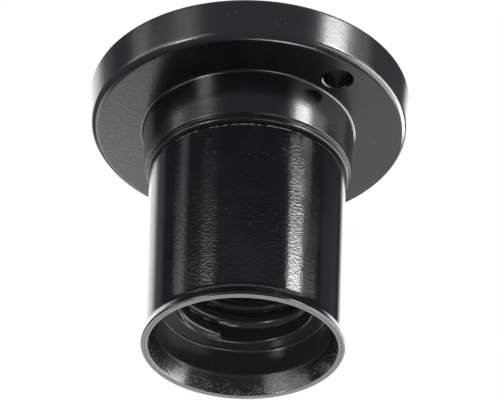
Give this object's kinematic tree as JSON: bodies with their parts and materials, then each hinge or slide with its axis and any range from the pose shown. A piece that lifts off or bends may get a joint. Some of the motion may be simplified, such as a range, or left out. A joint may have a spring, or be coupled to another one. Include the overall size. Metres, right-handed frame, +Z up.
{
  "type": "lamp holder",
  "caption": "Straight ceiling lamp holder for a screw-cap lamp: round flange and collar, screw-on skirt with moulded round thread, ceramic contact carrier.",
  "frame": {"origin": "centre of the two ceiling screw holes, on the ceiling plane at the back of the flange", "axes": "+Z up into the ceiling, along the lamp axis; the lamp hangs towards -Z; the two ceiling screws lie on X"},
  "size_m": [0.0658, 0.0658, 0.0594],
  "materials": {
    "phenolic": "glossy moulded phenolic, matt grey on the ground rim",
    "ceramic": "glazed steatite",
    "brass": "stamped and turned brass",
    "bronze": "phosphor bronze spring strip",
    "plated_steel": "zinc plated",
    "spring_steel": "bright spring wire"
  },
  "bodies": {
    "base": {"base": "phenolic"},
    "carrier": {"contact_carrier": "ceramic", "contact_spring": "spring_steel", "live_terminal": "brass", "live_plate_screw": "plated_steel", "neutral_terminal": "brass", "side_contact": "bronze", "side_contact_screw": "plated_steel"},
    "sleeve": {"sleeve": "phenolic"},
    "centre_contact": {"centre_contact": "brass"},
    "live_washer": {"live_wire_washer": "plated_steel"},
    "live_screw": {"live_wire_screw": "plated_steel"},
    "neutral_washer": {"neutral_wire_washer": "plated_steel"},
    "neutral_screw": {"neutral_wire_screw": "plated_steel"}
  },
  "joints": [
    {"name": "carrier_drop", "type": "slide", "parent": "base", "child": "carrier", "axis": [0, 0, -1], "range_m": [0, 0.0045]},
    {"name": "sleeve_unscrew", "type": "hinge", "parent": "carrier", "child": "sleeve", "pos_m": [0, 0, -0.03], "axis": [0, 0, -1], "range_deg": [0, 540]},
    {"name": "centre_contact_press", "type": "slide", "parent": "carrier", "child": "centre_contact", "axis": [0, 0, 1], "range_m": [0, 0.002], "stiffness_N_per_m": 1500, "springref_m": -0.002, "deforming": ["contact_spring"]},
    {"name": "live_washer_lift", "type": "slide", "parent": "carrier", "child": "live_washer", "axis": [0, 0, 1], "range_m": [0, 0.0024]},
    {"name": "live_screw_turn", "type": "hinge", "parent": "live_washer", "child": "live_screw", "pos_m": [0, 0.0076, -0.0103], "axis": [0, 0, 1], "range_deg": [0, 1440]},
    {"name": "neutral_washer_lift", "type": "slide", "parent": "carrier", "child": "neutral_washer", "axis": [0, 0, 1], "range_m": [0, 0.0024]},
    {"name": "neutral_screw_turn", "type": "hinge", "parent": "neutral_washer", "child": "neutral_screw", "pos_m": [0.0092, -0.0044, -0.0103], "axis": [0, 0, 1], "range_deg": [0, 1440]}
  ],
  "couplings": [
    {"joint": "sleeve_unscrew", "follows": "carrier_drop", "rad_per_m": 2094.4},
    {"joint": "live_screw_turn", "follows": "live_washer_lift", "rad_per_m": 10472},
    {"joint": "neutral_screw_turn", "follows": "neutral_washer_lift", "rad_per_m": 10472}
  ]
}
